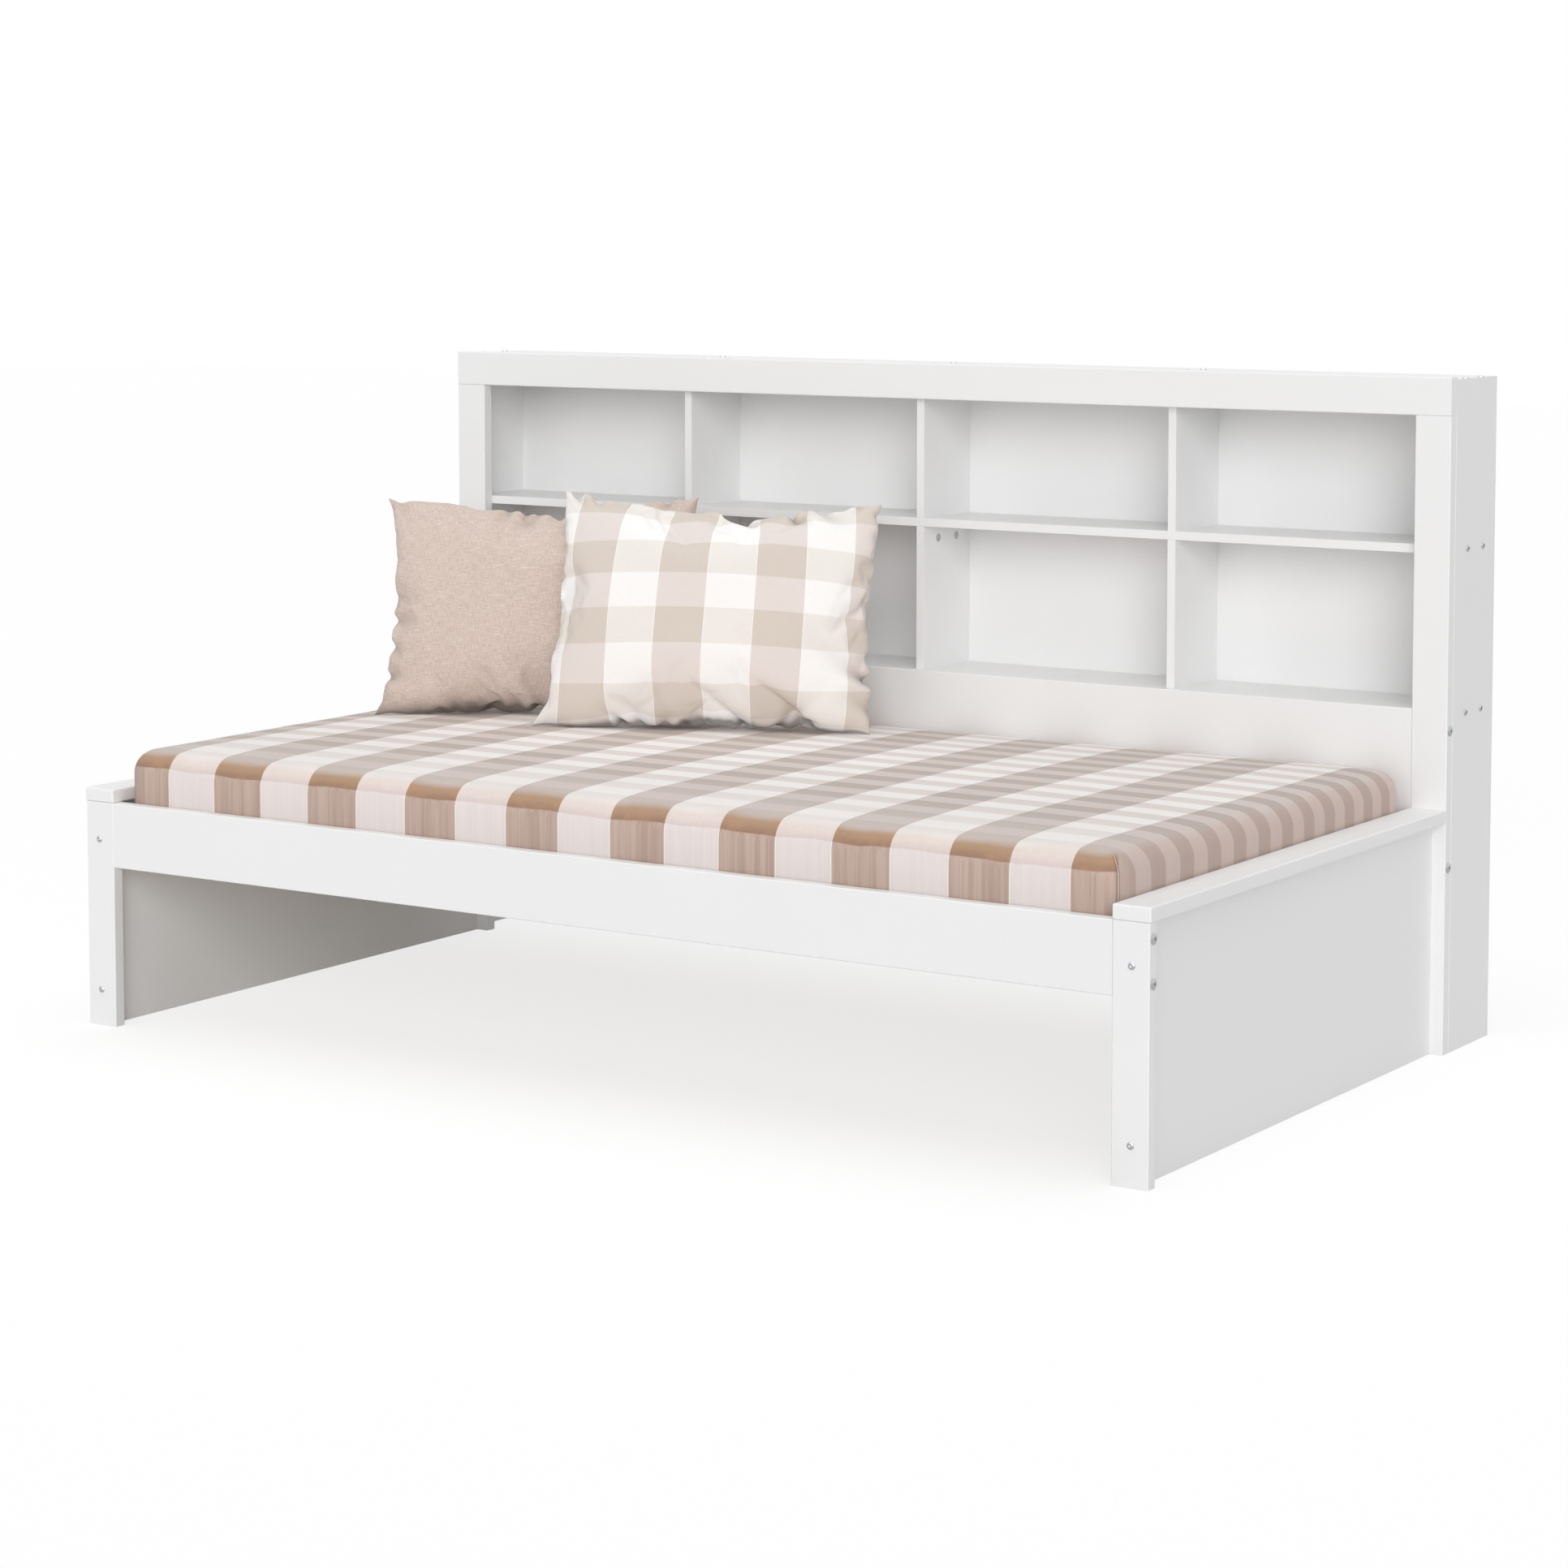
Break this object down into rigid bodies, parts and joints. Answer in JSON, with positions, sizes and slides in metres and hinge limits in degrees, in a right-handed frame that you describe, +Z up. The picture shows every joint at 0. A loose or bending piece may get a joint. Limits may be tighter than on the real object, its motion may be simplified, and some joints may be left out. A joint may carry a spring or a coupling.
{
  "type": "bookcase headboard bed",
  "caption": "Single bed with a wide open bookcase along its back, plain end panels, slats, a mattress in a banded fitted sheet, and two pillows.",
  "frame": {"origin": "on the floor, at the centre of the bed's footprint, hardware heads included", "axes": "+X along the bed's length to the right as seen from its open front, +Y back towards the bookcase, +Z up"},
  "size_m": [2.042, 1.2204, 1.1135],
  "materials": {
    "white_paint": "satin white paint",
    "bare_wood": "planed pine",
    "dowel_wood": "fluted beech",
    "webbing": "woven tape",
    "plated_steel": "bright zinc plate",
    "mattress_ticking": "quilted ticking",
    "sheet_cotton": "woven cotton in bands",
    "pillow_linen_cloth": "slubby linen",
    "pillow_checked_cloth": "woven cotton check"
  },
  "bodies": {
    "bed_frame": {"front_post_left": "white_paint", "front_post_right": "white_paint", "end_panel_left": "white_paint", "end_panel_right": "white_paint", "end_cap_left": "white_paint", "end_cap_right": "white_paint", "front_rail": "white_paint", "stile_left": "white_paint", "stile_right": "white_paint", "header": "white_paint", "apron": "white_paint", "side_panel_left": "white_paint", "side_panel_right": "white_paint", "top_board": "white_paint", "middle_shelf": "white_paint", "bottom_shelf": "white_paint", "divider_upper_left": "white_paint", "divider_upper_centre": "white_paint", "divider_upper_right": "white_paint", "divider_lower_left": "white_paint", "divider_lower_centre": "white_paint", "divider_lower_right": "white_paint", "back_panel_left": "white_paint", "back_panel_right": "white_paint", "ledger_front": "bare_wood", "ledger_rear": "bare_wood", "slat_01": "bare_wood", "slat_02": "bare_wood", "slat_03": "bare_wood", "slat_04": "bare_wood", "slat_05": "bare_wood", "slat_06": "bare_wood", "slat_07": "bare_wood", "slat_08": "bare_wood", "slat_09": "bare_wood", "slat_10": "bare_wood", "slat_11": "bare_wood", "slat_12": "bare_wood", "slat_13": "bare_wood", "slat_strap_front": "webbing", "slat_strap_rear": "webbing", "frame_bolts": "plated_steel", "barrel_nuts": "plated_steel", "end_panel_screws": "plated_steel", "shelf_screws": "plated_steel", "top_board_screws": "plated_steel", "ledger_screws": "plated_steel", "slat_screws": "plated_steel", "cam_locks": "plated_steel", "cam_bolts": "plated_steel", "back_nails": "plated_steel", "cap_dowels": "dowel_wood", "header_dowels": "dowel_wood", "carcass_dowels": "dowel_wood", "divider_dowels": "dowel_wood"},
    "mattress": {"mattress": "mattress_ticking", "fitted_sheet": "sheet_cotton"},
    "pillow_linen": {"pillow_linen": "pillow_linen_cloth"},
    "pillow_checked": {"pillow_checked": "pillow_checked_cloth"}
  },
  "joints": [
    {"name": "mattress_lift", "type": "slide", "parent": "bed_frame", "child": "mattress", "axis": [0, 0, 1], "range_m": [0, 0.3]},
    {"name": "pillow_linen_lift", "type": "slide", "parent": "mattress", "child": "pillow_linen", "axis": [0, 0, 1], "range_m": [0, 0.25]},
    {"name": "pillow_checked_lift", "type": "slide", "parent": "mattress", "child": "pillow_checked", "axis": [0, 0, 1], "range_m": [0, 0.25]}
  ]
}
